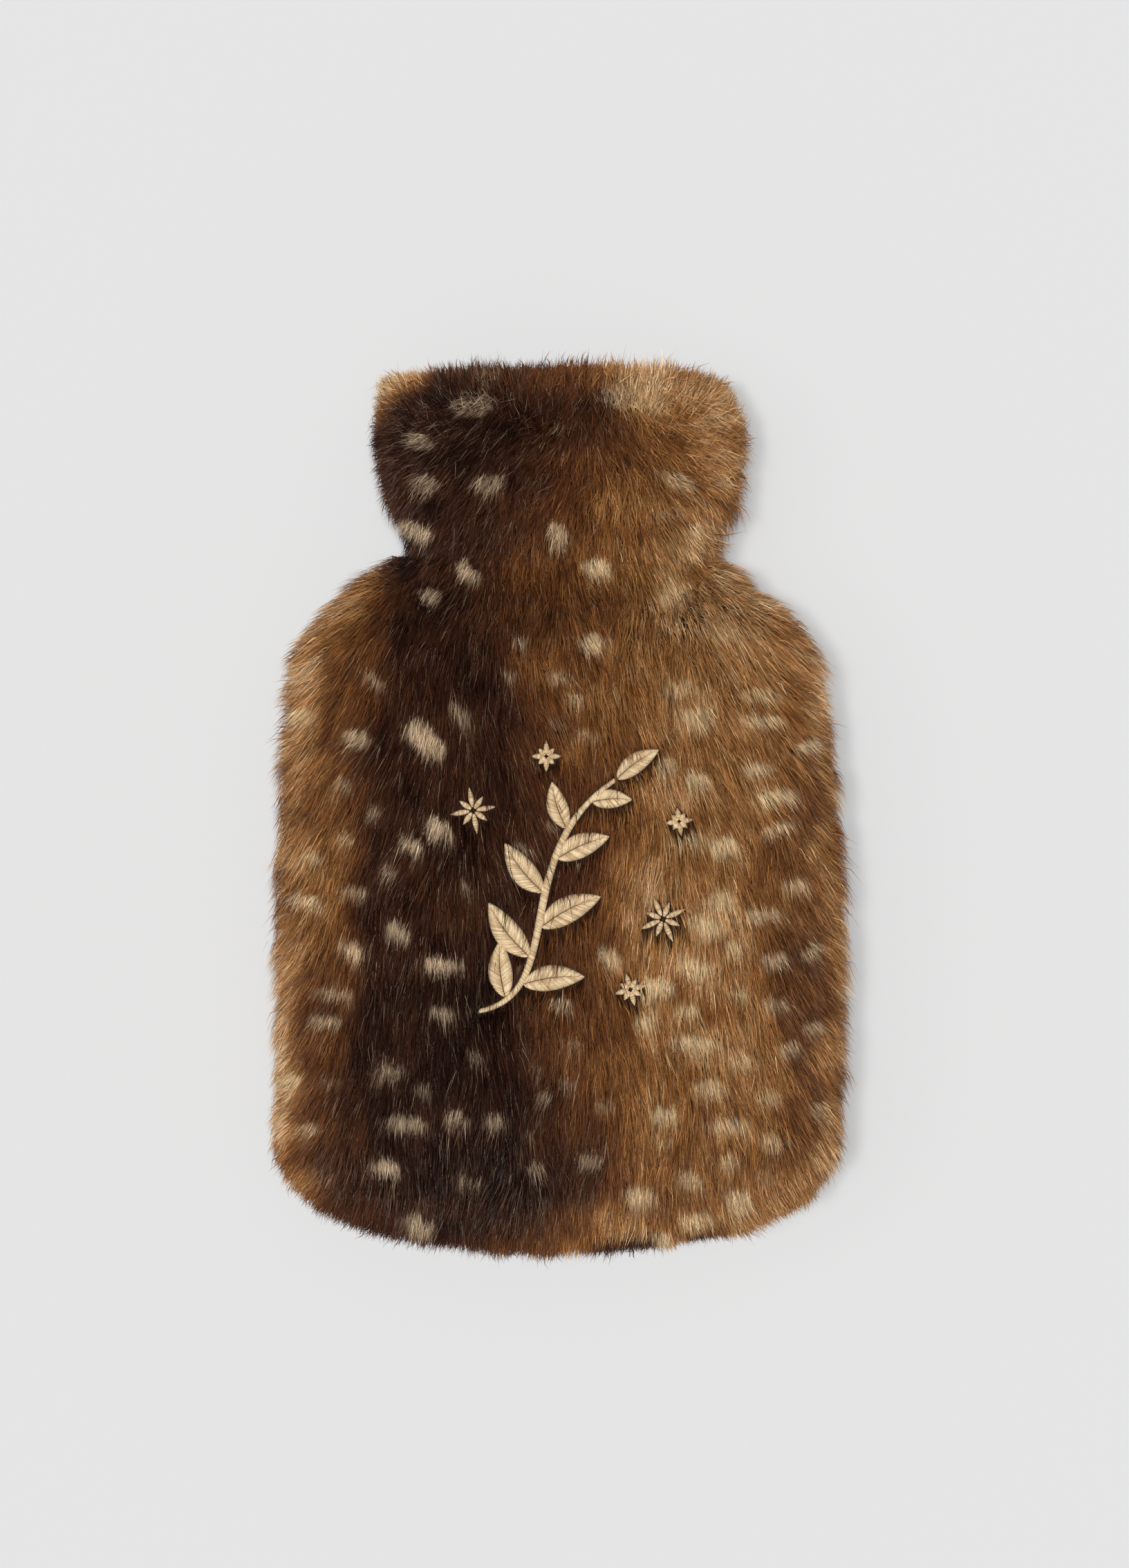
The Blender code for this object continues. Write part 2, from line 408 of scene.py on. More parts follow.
def satin_bar(path, half_width, slant):
    """Threads laid across a narrow bar, slanted, from one of its edges to the other."""
    run = np.concatenate([[0], np.cumsum(np.linalg.norm(np.diff(path, axis=0), axis=1))])

    def place_at(distance):
        return np.stack([np.interp(distance, run, path[:, i]) for i in (0, 1)], axis=-1)

    at = np.arange(THREAD_PITCH / 2, run[-1], THREAD_PITCH)
    middle = place_at(at)
    forward = place_at(at + THREAD_PITCH / 2) - place_at(at - THREAD_PITCH / 2)
    forward /= np.linalg.norm(forward, axis=1)[:, None]
    across = np.stack([-forward[:, 1], forward[:, 0]], axis=-1)
    half = half_width(at / run[-1])[:, None]
    return np.stack([middle - across * half - forward * slant, middle + across * half + forward * slant], 1)


def satin_leaf(base, tip, width):
    """A leaf in two halves: threads run slanted from its vein out to each edge."""
    vein = tip - base
    length = np.linalg.norm(vein)
    forward = vein / length
    across = np.array([-forward[1], forward[0]])
    threads = []
    for side in (-1, 1):
        u = np.arange(0.0, 0.985, THREAD_PITCH / length)
        edge_u = np.minimum(u + LEAF_SLANT * np.sin(np.pi * u) ** 0.5, 1.0)
        bulge = np.sin(np.pi * edge_u**0.85) ** 0.8 * width / 2
        bend, bend_edge = (LEAF_BEND * length * np.sin(np.pi * each) for each in (u, edge_u))
        inner = base + np.outer(u * length, forward) + np.outer(bend + side * VEIN_GAP, across)
        outer = base + np.outer(edge_u * length, forward) + np.outer(bend_edge + side * bulge, across)
        long_enough = np.linalg.norm(outer - inner, axis=1) > SHORTEST_THREAD
        threads.append(np.stack([inner, outer], 1)[long_enough])
    return np.concatenate(threads)


sprig_centre = np.array(SPRIG_CENTRE)
stem_path = bezier(STEM_POINTS_MM, np.linspace(0, 1, 120)) / 1000 + sprig_centre
sprig_threads = [
    satin_bar(stem_path, lambda s: STEM_WIDTH / 2 * (0.55 + 0.45 * np.sin(np.pi * s)), STEM_SLANT)
]
for row in LEAF_TABLE:
    leaf = dict(zip(LEAF_COLUMNS, row))
    foot = bezier(STEM_POINTS_MM, leaf["along"]) / 1000 + sprig_centre
    step = bezier(STEM_POINTS_MM, leaf["along"] - 0.01) / 1000 + sprig_centre
    growth = math.atan2(*(foot - step)[::-1]) + math.radians(leaf["lean_deg"]) * leaf["side"]
    direction = np.array([math.cos(growth), math.sin(growth)])
    heel, tip = foot + direction * LEAF_CLEARANCE, foot + direction * leaf["length_mm"] / 1000
    sprig_threads.append(satin_leaf(heel, tip, leaf["width_mm"] / 1000))
for row in STAR_TABLE:
    star = dict(zip(STAR_COLUMNS, row))
    middle = np.array([star["x_mm"], star["y_mm"]]) / 1000 + sprig_centre
    for point in range(STAR_POINTS):
        turn = math.radians(star["turn_deg"] + 360 * point / STAR_POINTS)
        direction = np.array([math.cos(turn), math.sin(turn)])
        reach = star["across_mm"] / 2000 * (1 if point % 2 == 0 else SHORT_POINT)
        ray = np.linspace(RAY_FROM, 1, 12)[:, None] * reach * direction + middle
        sprig_threads.append(satin_bar(ray, lambda s: RAY_HALF_WIDTH * np.sin(np.pi * (0.12 + 0.84 * s)), 0))
sprig_threads = np.concatenate(sprig_threads)

# A chart of how far each place on the face is from the nearest stitch.
STITCH_GRID = 0.00025
STITCH_GRID_HALF = 0.060
STITCH_FAR = 0.004
grid_places = np.arange(-STITCH_GRID_HALF, STITCH_GRID_HALF, STITCH_GRID)
stitch_gap = np.full((len(grid_places),) * 2, STITCH_FAR)
for start, end in sprig_threads:
    for point in (start, (start * 2 + end) / 3, (start + end * 2) / 3, end):
        local = point - sprig_centre
        i, j = ((local + STITCH_GRID_HALF - STITCH_FAR) / STITCH_GRID).astype(int)
        span = int(2 * STITCH_FAR / STITCH_GRID) + 1
        window = stitch_gap[i : i + span, j : j + span]
        away_x = grid_places[i : i + span, None] - local[0]
        away_y = grid_places[None, j : j + span] - local[1]
        np.minimum(window, np.hypot(away_x, away_y), out=window)


def gap_to_stitches(x, y):
    """Distance from each place on the face to the nearest stitch, up to STITCH_FAR."""
    i = ((x - SPRIG_CENTRE[0] + STITCH_GRID_HALF) / STITCH_GRID).astype(int)
    j = ((y - SPRIG_CENTRE[1] + STITCH_GRID_HALF) / STITCH_GRID).astype(int)
    inside = (i >= 0) & (j >= 0) & (i < len(grid_places)) & (j < len(grid_places))
    gap = np.full(x.shape, STITCH_FAR)
    gap[inside] = stitch_gap[i[inside], j[inside]]
    return gap


# The surface that the stitches' tops lie on, to find its height at any place.
LEVEL_ROWS = (90, 30)
level_shares = np.linspace(0, 1, 24) ** 1.6
stitch_level = BVHTree.FromPolygons(*panel_grid("front", rows_down(*LEVEL_ROWS), level_shares, STITCH_INSET))
# Along each thread: its place from one end to the other, and how far it has risen from the cloth. A long one
# is stitched down once more on its way, at a place of its own.
THREAD_STEPS = ((0.00, 0.0), (0.04, 0.85), (0.42, 1.0), (0.50, 1.0), (0.58, 1.0), (0.96, 0.85), (1.00, 0.0))
DIP_STEP = 3
DIP = 0.00030
LONG_THREAD = 0.0022
HIGHEST_ARCH = 0.0009
ARCH_SHARE = 0.12  # of a thread's length
LEVEL_SPREAD = 0.00005
DIP_SHIFT = 0.26  # to either side, as a share of the thread's length
ABOVE_ALL = 0.2  # height from which the surface is looked for
# Across each thread: place as a share of its width, and height as a share of its rise.
THREAD_SECTION = ((-0.5, 0.0), (-0.26, 0.85), (0.26, 0.85), (0.5, 0.0))
thread_rng = np.random.default_rng(41)
count = len(sprig_threads)
starts, ends = sprig_threads[:, 0], sprig_threads[:, 1]
run = ends - starts
lengths = np.linalg.norm(run, axis=1)
run = run / lengths[:, None]
sideways = np.stack([-run[:, 1], run[:, 0], np.zeros(count)], axis=-1)
middles = (starts + ends) / 2
levels = np.array([stitch_level.ray_cast((x, y, ABOVE_ALL), (0, 0, -1))[0].z for x, y in middles])
levels = levels + thread_rng.normal(0, LEVEL_SPREAD, count)
leg = CLOTH_INSET - STITCH_INSET
crowned = np.minimum(HIGHEST_ARCH, ARCH_SHARE * lengths)
dip_shift = thread_rng.uniform(-DIP_SHIFT, DIP_SHIFT, count)
thread_places = np.zeros((count, len(THREAD_STEPS), len(THREAD_SECTION), 3))
for a, (share, rise) in enumerate(THREAD_STEPS):
    shares = np.clip(share + dip_shift * (abs(a - DIP_STEP) < 2), 0, 1)
    centre = starts + (ends - starts) * shares[:, None]
    arch = crowned * (1 - (2 * shares - 1) ** 2)
    z = levels - leg * (1 - rise) + arch * rise - DIP * (a == DIP_STEP) * (lengths > LONG_THREAD)
    for b, (over, up) in enumerate(THREAD_SECTION):
        thread_places[:, a, b, :2] = centre + sideways[:, :2] * over * THREAD_WIDTH
        thread_places[:, a, b, 2] = z + up * THREAD_RISE
steps, points = len(THREAD_STEPS), len(THREAD_SECTION)
cells = np.array([
    (a * points + b, a * points + b + 1, (a + 1) * points + b + 1, (a + 1) * points + b)
    for a in range(steps - 1)
    for b in range(points - 1)
])
thread_faces = (cells[None] + np.arange(count)[:, None, None] * steps * points).reshape(-1, 4)
sprig_mesh = bpy.data.meshes.new("stitched_sprig")
sprig_mesh.from_pydata(thread_places.reshape(-1, 3), [], thread_faces)
sprig = new_object("stitched_sprig", sprig_mesh)
sprig_mesh.shade_smooth()
strand_tone = sprig_mesh.attributes.new("thread", "FLOAT", "POINT")
strand_tone.data.foreach_set("value", np.repeat(thread_rng.random(count), steps * points))

gold = new_material("gold satin thread", {"Roughness": 0.30, "Sheen Weight": 0.25})
gold_tone = add_node(gold.node_tree, "Attribute", {}, attribute_name="thread")
gold_ramp = add_node(gold.node_tree, "ValToRGB", {"Fac": gold_tone.outputs["Fac"]})
gold_ramp.color_ramp.elements[0].color = (0.54, 0.335, 0.150, 1)
gold_ramp.color_ramp.elements[1].color = (0.98, 0.775, 0.485, 1)
connect(gold.node_tree, gold.node_tree.nodes["Principled BSDF"], {"Base Color": gold_ramp.outputs["Color"]})
sprig_mesh.materials.append(gold)
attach(sprig, "root")

# Front pile: long fine acrylic hairs knitted into the cloth, combed down the body and out over its edges,
# and printed with a dark middle, tan sides and pale flecks. It grows in clumps, over a short undercoat.
FRONT_HAIRS = 182000
FRONT_RIM_HAIRS = 12000
FRONT_PIECES = 3
ROOT_ROWS, ROOT_RINGS = (150, 60), 48
HAIR_STEPS = 3  # places along a hair: its root, its bend and its tip
UP_HAIR = np.linspace(0, 1, HAIR_STEPS)
HAIR_RISE = np.array([0.0, 0.82, 1.0])
HAIR_RUN = np.array([0.0, 0.40, 1.0])
HAIR_TAPER = np.array([1.0, 0.9, 0.0])
RIBBON_CORNERS = np.array([0, 1, 3, 2, 2, 3, 4])  # of a face up to the bend and a face to the tip
RIBBON_FACES = np.array([4, 3])  # corners of each
PILE_DEPTH = 0.0072
HAIR_LENGTH = 0.0135
HAIR_WIDTH = 0.00030
UNDERCOAT_SHARE = 0.25
HAIR_LENGTHS, UNDERCOAT_LENGTHS = (0.75, 1.15), (0.35, 0.60)  # shares of HAIR_LENGTH
HAIR_DEPTHS, UNDERCOAT_DEPTHS = (0.70, 1.06), (0.45, 0.75)  # shares of PILE_DEPTH
HAIR_WIDTHS = (0.75, 1.25)  # shares of HAIR_WIDTH
FLYAWAY_SHARE = 0.04
FLYAWAY_DEPTH = 1.35
TIP_SPREAD = 0.00034
TURN_SPREAD = 9  # degrees, and as much again on the collar
HANG = 0.7
LIT_STANDING = 0.65  # how far along it a hair that stands is lit from its root
CLUMP_SIZES = (0.0052, 0.0019)
CLUMP_PULLS = (0.12, 0.13)
CLUMP_PULL_RANGE = (0.5, 1.3)
FLOOR_CLEARANCE = 0.0003
HEART_Z = 0.026  # height of the bottle's middle, which the cloth faces away from

# The collar, where the pile stands in all directions: its parting, and where it begins.
PARTING_Y = 0.148
PARTING_SPREAD = 0.0085
PARTING_WIDTH = 0.009
COMBED_UP_Y, COMBED_DOWN_Y = 0.161, 0.133
COLLAR_Y, COLLAR_FADE = 0.090, 0.020
CROSSED = 0.9
COLLAR_SHORTENED = 0.2
# The fold of the cloth at the mouth, which the pile fans out over.
FOLD_DEPTH = 0.0015
FOLD_FAN = (0.2, 1.9)  # radians from the cloth's own way out
FOLD_COMBED = 0.45
# Near the sides and the hem, and near the mouth, the hairs' lengths are uneven and the clumps are loose.
EDGE_REACH, EDGE_FADE = 0.016, 0.008
EDGE_UNEVEN = (-0.42, 0.30)
MOUTH_REACH, MOUTH_FADE = 0.020, 0.012
MOUTH_UNEVEN = (-0.30, 0.30)
LOOSE_REACH, LOOSE_FADE = 0.008, 0.014
# Where the front's pile is drawn up at the hem.
DRAWN_UP_X, DRAWN_UP_WIDTH, DRAWN_UP_Y = 0.038, 0.024, -0.150

# Soft random patches that vary the pile: how strong, how wide and how high they are, and their seed. They
# are smooth between random knots on a grid, which repeats after this many.
PATCH_KNOTS = 96
PATCH_START_X, PATCH_START_Y = 40.3, 40.7
PATCHES = {
    "parting": ((0.010, 0.020, 0.020, 9),),
    "combing": ((16, 0.016, 0.022, 5), (10, 0.006, 0.008, 6)),  # degrees
    "tufts": ((0.11, 0.0045, 0.0070, 7),),
    "locks": ((0.20, 0.011, 0.009, 22), (0.10, 0.0035, 0.0035, 23)),
    "tufts at the hem": ((0.9, 0.007, 0.030, 21),),
    "bands": ((0.009, 0.022, 0.026, 11), (0.004, 0.007, 0.012, 12)),
    "mottle": ((0.12, 0.013, 0.009, 13), (0.06, 0.0040, 0.0050, 14)),
    "edges of flecks": ((0.24, 0.0016, 0.0050, 15), (0.18, 0.0045, 0.0045, 16)),
    "strands": ((0.36, 0.0007, 0.0007, 24),),
}

# Which way the pile is combed, in degrees from straight down the cover, positive to the right, at seven
# places from the left edge of each row to its right edge. Where neighbours oppose each other it parts.
COMB_PLACES = (-1.0, -0.7, -0.35, 0.0, 0.35, 0.7, 1.0)
COMB_TABLE = (
    (0.172, -150, -165, -175, 180, 175, 160, 145),
    (0.161, -130, -150, -170, 180, 175, 155, 130),
    (0.133, -80, -60, -45, -20, 10, 60, 95),
    (0.120, -60, -45, -38, -18, 0, 42, 80),
    (0.108, -50, -35, -25, -12, 0, 30, 65),
    (0.096, -45, -25, -18, -10, 0, 22, 50),
    (0.084, -60, -30, -5, -5, 5, 30, 60),
    (0.070, -80, -30, 5, 5, 5, 30, 80),
    (0.040, -75, -25, 8, 12, 5, 25, 80),
    (0.000, -62, -15, 4, 3, 3, 14, 70),
    (-0.060, -55, -12, -5, 0, 3, 12, 60),
    (-0.120, -52, -12, -5, 0, 3, 12, 52),
    (-0.160, -45, -15, -5, 0, 3, 15, 42),
)

# How far the pile stands at the left and the right edge, as a share of its full depth.
BRUSHED_TABLE = (
    (0.170, 0.80, 0.75),
    (0.155, 0.75, 0.80),
    (0.138, 0.62, 1.00),
    (0.112, 0.65, 1.10),
    (0.095, 0.80, 1.10),
    (0.080, 0.55, 0.55),
    (0.060, 0.85, 0.85),
    (0.020, 1.00, 0.80),
    (-0.030, 0.95, 1.00),
    (-0.085, 0.72, 0.92),
    (-0.130, 0.62, 0.80),
    (-0.165, 0.70, 0.70),
)

# The dye's bands across each row, from 0, nearly black, to 1, pale gold, with the x at which each one ends.
# The rim band at the left and the edge band at the right are partly print and partly painted light on the
# hair tips.
DYE_AND_EDGE_LIGHT_COLUMNS = ("y", "rim", "rim_to", "left", "left_to", "dark", "dark_to", "brown", "brown_to",
               "tan", "tan_to", "right", "right_to", "edge")
DYE_AND_EDGE_LIGHT_TABLE = (
    (0.172, 0.92, -0.051, 0.40, -0.044, 0.24, -0.004, 0.54, 0.014, 0.90, 0.060, 0.90, 0.062, 0.92),
    (0.162, 0.94, -0.053, 0.18, -0.046, 0.12, -0.010, 0.48, 0.014, 0.84, 0.059, 0.86, 0.064, 0.90),
    (0.150, 0.78, -0.067, 0.10, -0.058, 0.02, 0.010, 0.38, 0.018, 0.73, 0.058, 0.80, 0.066, 0.90),
    (0.135, 0.45, -0.073, 0.10, -0.052, 0.01, -0.001, 0.33, 0.038, 0.52, 0.060, 0.74, 0.070, 0.74),
    (0.112, 0.22, -0.072, 0.03, -0.050, 0.10, -0.010, 0.38, 0.014, 0.58, 0.056, 0.72, 0.068, 0.60),
    (0.086, 0.62, -0.071, 0.16, -0.050, 0.12, -0.021, 0.48, 0.033, 0.78, 0.056, 0.90, 0.072, 0.90),
    (0.066, 0.80, -0.085, 0.42, -0.076, 0.12, -0.012, 0.43, 0.022, 0.74, 0.077, 0.62, 0.090, 0.80),
    (0.035, 0.72, -0.092, 0.38, -0.074, 0.09, -0.012, 0.59, 0.044, 0.68, 0.080, 0.55, 0.100, 0.78),
    (-0.005, 0.55, -0.089, 0.50, -0.072, 0.07, 0.003, 0.40, 0.024, 0.65, 0.076, 0.44, 0.101, 0.60),
    (-0.045, 0.66, -0.093, 0.52, -0.069, 0.11, 0.009, 0.44, 0.027, 0.82, 0.077, 0.42, 0.099, 0.68),
    (-0.070, 0.80, -0.092, 0.40, -0.079, 0.05, -0.010, 0.37, 0.018, 0.62, 0.079, 0.43, 0.096, 0.84),
    (-0.095, 0.86, -0.096, 0.32, -0.078, 0.02, -0.010, 0.45, 0.035, 0.68, 0.083, 0.34, 0.102, 0.58),
    (-0.120, 0.86, -0.090, 0.24, -0.080, 0.01, 0.003, 0.41, 0.032, 0.60, 0.082, 0.43, 0.099, 0.70),
    (-0.145, 0.58, -0.089, 0.19, -0.071, 0.00, 0.017, 0.45, 0.027, 0.58, 0.076, 0.58, 0.090, 0.72),
    (-0.163, 0.00, -0.074, 0.14, -0.056, 0.10, -0.014, 0.48, 0.008, 0.72, 0.050, 0.90, 0.060, 0.92),
    (-0.171, 0.70, -0.060, 0.45, -0.050, 0.36, -0.016, 0.56, 0.008, 0.74, 0.050, 0.84, 0.060, 0.90),
)
# How gradually each band passes into the next one, in metres.
DYE_BLUR = {"rim": 0.014, "left": 0.018, "dark": 0.040, "brown": 0.030, "tan": 0.020, "right": 0.008}
# Painted shade in the creases at the neck: the pile's tone is painted darker where the face is drawn in.
CREASE_FROM, CREASE_FADE, CREASE_PAINTED_SHADE = 0.0014, 0.0026, 0.17

# Pale flecks: centre, size across and along the pile, turn from level, and how pale each is.
FLECK_REACH = 0.020
FLECK_SIZE, FLECK_BLUR = 1.42, 1.05  # shares of the ellipse: where it ends, and how softly it comes
# Where the fleck shows on a hair: looked for from here up, where it is this share of its palest, and how far
# its ends lie past that and vary from hair to hair, as shares of the hair.
FLECK_FROM, FLECK_SAMPLES = 0.2, 9
FLECK_SHOWS = 0.45
FLECK_BEFORE, FLECK_AFTER = 0.06, 0.10
FLECK_WANDER, FLECK_TRAIL = 0.08, 0.12
FLECK_COLUMNS = ("x_mm", "y_mm", "wide_mm", "high_mm", "turn_deg", "pale")
FLECKS = (
    # on the collar and the neck
    (-31.5, 151, 17, 9, 5, 0.44), (-27, 161, 11, 9, 5, 0.26), (-51.5, 138, 11.5, 7.5, -10, 0.55),
    (-50, 122, 11.5, 7.5, -12, 0.53), (-26, 122, 15, 7.5, 12, 0.50), (-53.5, 104, 13, 7.5, -15, 0.72),
    (0, 102, 11, 9, -50, 0.64),
    (15, 90, 11, 8, 0, 0.98), (-34, 89, 11, 6.5, -40, 0.82), (-48, 79.5, 10, 6, -35, 0.66),
    (26, 155, 22, 12, 5, 0.50), (36, 151, 13, 8, 5, 0.40), (45, 123, 16, 7, -15, 0.56),
    (42, 110, 15, 5.5, 8, 0.38), (1, 142, 8, 4, 0, 0.28), (52, 103, 10, 6.5, 20, 0.55),
    # at the left
    (-69, 48, 13, 4.5, -32, 0.56), (-75, 26.5, 13, 5.5, -22, 0.78), (-49.5, 25.5, 19, 9, -42, 0.96),
    (-36, 34.5, 12, 6, -52, 0.50), (-81, 8.5, 8, 5, -20, 0.56),
    (-45, -7.5, 13, 7.5, -42, 0.82), (-55, -14, 10, 5.5, -35, 0.74), (-68.5, -2, 8, 5, -30, 0.48),
    (-80, -12, 8.5, 4.5, -15, 0.56), (-63.5, -24, 10, 5.5, -30, 0.54), (-76, -32, 12, 4.5, -12, 0.58),
    (-95, -35, 15, 5, -18, 0.95), (-97, 34, 12, 7, 10, 0.62), (-92, -19, 11, 4.5, -15, 0.75),
    (-98, -53, 14, 5, -22, 0.40),
    (-60, -46.5, 12, 7, -38, 0.78), (-77, -53.5, 12, 6.5, -22, 0.86), (-44, -59, 18, 5.5, -5, 1.00),
    (-84, -70, 14, 4.5, -10, 0.64), (-43, -77, 10, 4.5, -12, 0.74), (-87, -80.5, 13, 5, -8, 0.66),
    (-34, -30, 8, 5, -30, 0.38), (-62.5, -99.5, 13, 5, -8, 0.52), (-85, -103, 10, 4, -5, 0.34),
    (-30, -94, 8.5, 4.5, -20, 0.38), (-100, -103, 10, 6, 0, 0.85), (-58, -118.5, 17, 6, -8, 0.64),
    (-38, -117, 10, 6, -6, 0.64), (-24, -118, 9, 6, -6, 0.60), (-94, -121, 12, 5, 0, 0.52),
    (-65, -135.5, 13.5, 6, -8, 0.80), (-34.5, -140.5, 12, 4.5, -12, 0.37), (-53, -157.5, 14, 9, -25, 0.64),
    (-86, -140, 9, 4.5, 0, 0.30), (-51, -106, 8, 5, -12, 0.36), (-12, -123.5, 8, 4.5, -8, 0.28),
    # in the middle
    (-14, 62, 7, 4.5, -10, 0.50), (-18, 49.5, 8, 4, -20, 0.42),
    (1, 48.5, 13, 4.5, -8, 0.54), (6, 41, 10, 5, -10, 0.62),
    (13.5, 61.5, 14, 7, 10, 0.84), (0, 31, 9, 4, -10, 0.44), (11, 27.5, 12, 4.5, -15, 0.46),
    (-6.5, 17, 6, 4.5, -10, 0.40), (1, -7, 10, 4, -5, 0.40), (-13, -16, 10, 4.5, -10, 0.46),
    (6, -19.5, 12, 5, -8, 0.58), (20, -57, 12, 7, -35, 0.78), (1, -73.5, 12, 5.5, -10, 0.54),
    (-10, -61, 8, 4, -10, 0.34), (5, -89, 9, 4.5, -10, 0.40), (4, -104, 10, 4.5, -10, 0.36),
    (-5, -110, 7, 6.5, -10, 0.43), (12, -132.5, 10, 5.5, -10, 0.54), (-8.5, -136, 8, 5.5, -5, 0.47),
    (18, -112, 9, 4.5, 0, 0.42), (-8, -98, 8, 4, -10, 0.32),
    # at the right
    (44, 79.5, 16, 9, 20, 0.60), (65, 65.5, 17, 5.5, 0, 0.48),
    (45, 44.5, 15, 8, 5, 0.56), (77, 42, 19, 6, 3, 0.64), (51, 34, 14, 9.4, 0, 0.76),
    (77, 32.5, 16.2, 5.3, 3, 0.87), (93.5, 23, 12, 6, 15, 0.82), (40, 15, 10, 8.5, 0, 0.71),
    (52, 10, 11.9, 7.7, 0, 1.00), (75.5, 14, 14, 6, 3, 0.78), (82, 4, 16.2, 6.5, 3, 1.00),
    (83, -8, 15.1, 5, 20, 0.76), (62.5, -15, 11, 9, 0, 1.00),
    (50, -12, 14, 6, 5, 0.80), (90.5, -29, 11, 6, 5, 0.78), (62, -34.5, 10, 6.5, 0, 0.85),
    (76, -40.5, 16, 5.7, 3, 0.74), (56, -44.5, 15.1, 8.3, -15, 1.00), (66, -53, 9.7, 6.5, 0, 0.82),
    (52, -60, 11.9, 7.7, -15, 1.00), (80.5, -57.5, 14, 6.5, 6, 0.66), (95.5, -54, 10, 6.5, 28, 0.74),
    (36, -68.5, 16.2, 9.4, 10, 1.00), (69, -70, 9.7, 5.9, 0, 0.71), (49, -76.5, 11.9, 5.9, -5, 0.89),
    (33.5, -80.5, 10, 7, 0, 0.85), (82.5, -74, 11, 5.5, 5, 0.60), (97, -83, 11, 5.5, 10, 0.56),
    (53, -89, 19.4, 7.1, -5, 1.00), (69.5, -95.5, 13, 5.5, 0, 0.60), (87, -91, 10.8, 5.9, 5, 0.60),
    (57.5, -105.5, 12, 8.5, 0, 0.78), (40, -116, 10.8, 7.1, -5, 1.00),
    (63, -119.5, 20, 6.5, -4, 0.70), (79.5, -109, 11, 6, 0, 0.56), (99, -114, 9, 7.5, 10, 0.50),
    (81, -126, 12, 6.5, -10, 0.64), (39, -125, 8.6, 5.3, 0, 0.60), (65, -133, 9.7, 5.9, 0, 0.71),
    (50.5, -139.5, 11, 6.5, 0, 0.70), (31, -146.5, 13, 9.5, 0, 0.74), (68.5, -148.5, 15, 10.5, -15, 0.76),
    (52, -156, 16.2, 7.7, 5, 0.76), (38, -163, 14, 5.9, 0, 0.85), (79.5, -138.5, 10, 6, 0, 0.36),
)


def patches(x, y, name):
    """Sum of the soft random patches of this name, each from minus to plus its strength."""
    total = 0
    for strength, across, along, seed in PATCHES[name]:
        knots = np.random.default_rng(seed).uniform(-1, 1, (PATCH_KNOTS + 1, PATCH_KNOTS + 1))
        u, v = x / across + PATCH_START_X, y / along + PATCH_START_Y
        i, j = np.floor(u).astype(int), np.floor(v).astype(int)
        s, t = u - i, v - j
        s, t = s * s * (3 - 2 * s), t * t * (3 - 2 * t)
        i, j = i % PATCH_KNOTS, j % PATCH_KNOTS
        low = knots[i, j] * (1 - s) + knots[i + 1, j] * s
        high = knots[i, j + 1] * (1 - s) + knots[i + 1, j + 1] * s
        total = total + strength * (low * (1 - t) + high * t)
    return total


def spread_roots(rng, count, panel, y):
    """Roots spread evenly over these rows of a panel's cloth, with the way out of the cloth at each."""
    corners, outward = [], []
    shares = np.linspace(0, 1, ROOT_RINGS + 1) ** RING_EASE
    for side in (-1, 1):
        grid = panel_points(panel, side, y, shares, CLOTH_INSET)
        normal = np.cross(np.gradient(grid, axis=0), np.gradient(grid, axis=1))
        size = np.linalg.norm(normal, axis=-1, keepdims=True)
        normal = np.where(size > 1e-12, normal / np.maximum(size, 1e-12), (0, 0, 1))
        heart = np.zeros(grid.shape)
        heart[..., 1], heart[..., 2] = np.maximum(grid[..., 1], POLE_Y), HEART_Z
        facing = np.sign(((grid - heart) * normal).sum(-1, keepdims=True))
        normal = normal * np.where(facing == 0, 1, facing)
        for found, values in ((corners, grid), (outward, normal)):
            cell = np.stack([values[:-1, :-1], values[1:, :-1], values[1:, 1:], values[:-1, 1:]], axis=2)
            found.append(cell.reshape(-1, 4, 3))
    corners, outward = np.concatenate(corners), np.concatenate(outward)
    area = np.linalg.norm(np.cross(corners[:, 2] - corners[:, 0], corners[:, 3] - corners[:, 1]), axis=1)
    # The pile is thicker over the collar's parting, where it falls away to both sides.
    crowd = area * (1 + np.exp(-(((corners[:, 0, 1] - PARTING_Y) / PARTING_WIDTH) ** 2)))
    chosen = rng.choice(len(corners), count, p=crowd / crowd.sum())
    u, v = rng.random(count), rng.random(count)
    weights = np.stack([(1 - u) * (1 - v), u * (1 - v), u * v, (1 - u) * v], axis=-1)[..., None]
    root = (corners[chosen] * weights).sum(axis=1)
    way_out = (outward[chosen] * weights).sum(axis=1)
    return root, way_out / np.linalg.norm(way_out, axis=1, keepdims=True)


def combed(x, y):
    """Unit directions on the flat in which the pile is combed, shorter where it parts."""
    share = np.clip(x / np.maximum(half_across(x, y), 0.02), -1, 1)
    rows = np.array(COMB_TABLE)[::-1]
    angles = np.radians(rows[:, 1:])
    column = np.clip(np.searchsorted(COMB_PLACES, share, side="right") - 1, 0, len(COMB_PLACES) - 2)
    places = np.array(COMB_PLACES)
    t = (share - places[column]) / (places[column + 1] - places[column])
    found = []
    for part in (np.sin(angles), -np.cos(angles)):
        columns = np.stack([np.interp(y, rows[:, 0], part[:, k]) for k in range(len(COMB_PLACES))])
        each = np.arange(len(x))
        found.append(columns[column, each] * (1 - t) + columns[column + 1, each] * t)
    return np.stack(found, axis=-1)


